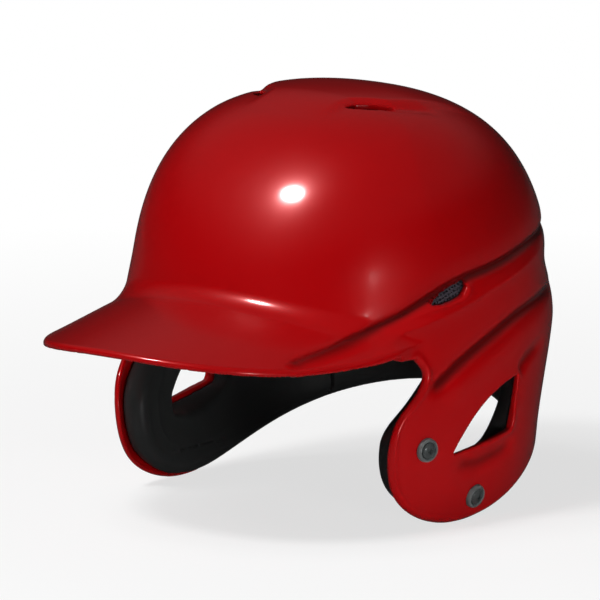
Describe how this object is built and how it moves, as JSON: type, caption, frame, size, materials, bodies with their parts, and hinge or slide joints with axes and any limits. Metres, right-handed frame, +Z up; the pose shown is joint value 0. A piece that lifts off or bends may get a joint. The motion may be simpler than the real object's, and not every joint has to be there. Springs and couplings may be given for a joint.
{
  "type": "batting helmet",
  "caption": "Glossy batting helmet with a long visor, padded ear flaps on both sides, ear windows, mesh-backed vents and jaw guard screws.",
  "frame": {"origin": "on the surface that the ear flaps stand on, below the middle of the helmet's overall length and width", "axes": "+Z up, -Y the way the visor points, +X the wearer's left"},
  "size_m": [0.2044, 0.2956, 0.2077],
  "materials": {
    "red_shell": "moulded ABS with a clear gloss coat",
    "liner_foam": "closed-cell impact foam",
    "pad_foam": "soft foam with a smooth black skin",
    "vent_mesh": "perforated black plastic",
    "dark_steel": "black chrome",
    "grey_washer": "satin grey",
    "zinc_nut": "zinc plated"
  },
  "bodies": {
    "helmet": {"brow_pad": "pad_foam", "crown_pad": "pad_foam", "crown_vent_mesh_left": "vent_mesh", "crown_vent_mesh_right": "vent_mesh", "ear_pad_left": "pad_foam", "ear_pad_right": "pad_foam", "impact_liner": "liner_foam", "nape_pad": "pad_foam", "nut_front_left": "zinc_nut", "nut_front_right": "zinc_nut", "nut_lower_left": "zinc_nut", "nut_lower_right": "zinc_nut", "outer_shell": "red_shell", "rear_pad": "pad_foam", "side_pad_left": "pad_foam", "side_pad_right": "pad_foam", "side_vent_mesh_left": "vent_mesh", "side_vent_mesh_right": "vent_mesh"},
    "washer_front_left": {"washer_front_left": "grey_washer"},
    "screw_front_left": {"screw_front_left": "dark_steel"},
    "washer_front_right": {"washer_front_right": "grey_washer"},
    "screw_front_right": {"screw_front_right": "dark_steel"},
    "washer_lower_left": {"washer_lower_left": "grey_washer"},
    "screw_lower_left": {"screw_lower_left": "dark_steel"},
    "washer_lower_right": {"washer_lower_right": "grey_washer"},
    "screw_lower_right": {"screw_lower_right": "dark_steel"}
  },
  "joints": [
    {"name": "front_left_backs_out", "type": "slide", "parent": "helmet", "child": "washer_front_left", "axis": [0.9706, -0.2209, -0.0951], "range_m": [0, 0.006]},
    {"name": "front_left_turns", "type": "hinge", "parent": "washer_front_left", "child": "screw_front_left", "pos_m": [0.09709, -0.01431, 0.04202], "axis": [0.9706, -0.2209, -0.0951], "range_deg": [0, 2700.5]},
    {"name": "front_right_backs_out", "type": "slide", "parent": "helmet", "child": "washer_front_right", "axis": [-0.9706, -0.2209, -0.0951], "range_m": [0, 0.006]},
    {"name": "front_right_turns", "type": "hinge", "parent": "washer_front_right", "child": "screw_front_right", "pos_m": [-0.09709, -0.01431, 0.04202], "axis": [-0.9706, -0.2209, -0.0951], "range_deg": [0, 2700.5]},
    {"name": "lower_left_backs_out", "type": "slide", "parent": "helmet", "child": "washer_lower_left", "axis": [0.9656, -0.0124, -0.2598], "range_m": [0, 0.006]},
    {"name": "lower_left_turns", "type": "hinge", "parent": "washer_lower_left", "child": "screw_lower_left", "pos_m": [0.09556, 0.02519, 0.01252], "axis": [0.9656, -0.0124, -0.2598], "range_deg": [0, 2700.5]},
    {"name": "lower_right_backs_out", "type": "slide", "parent": "helmet", "child": "washer_lower_right", "axis": [-0.9656, -0.0124, -0.2598], "range_m": [0, 0.006]},
    {"name": "lower_right_turns", "type": "hinge", "parent": "washer_lower_right", "child": "screw_lower_right", "pos_m": [-0.09556, 0.02519, 0.01252], "axis": [-0.9656, -0.0124, -0.2598], "range_deg": [0, 2700.5]}
  ],
  "couplings": [
    {"joint": "front_left_turns", "follows": "front_left_backs_out", "rad_per_m": 7854},
    {"joint": "front_right_turns", "follows": "front_right_backs_out", "rad_per_m": 7854},
    {"joint": "lower_left_turns", "follows": "lower_left_backs_out", "rad_per_m": 7854},
    {"joint": "lower_right_turns", "follows": "lower_right_backs_out", "rad_per_m": 7854}
  ]
}
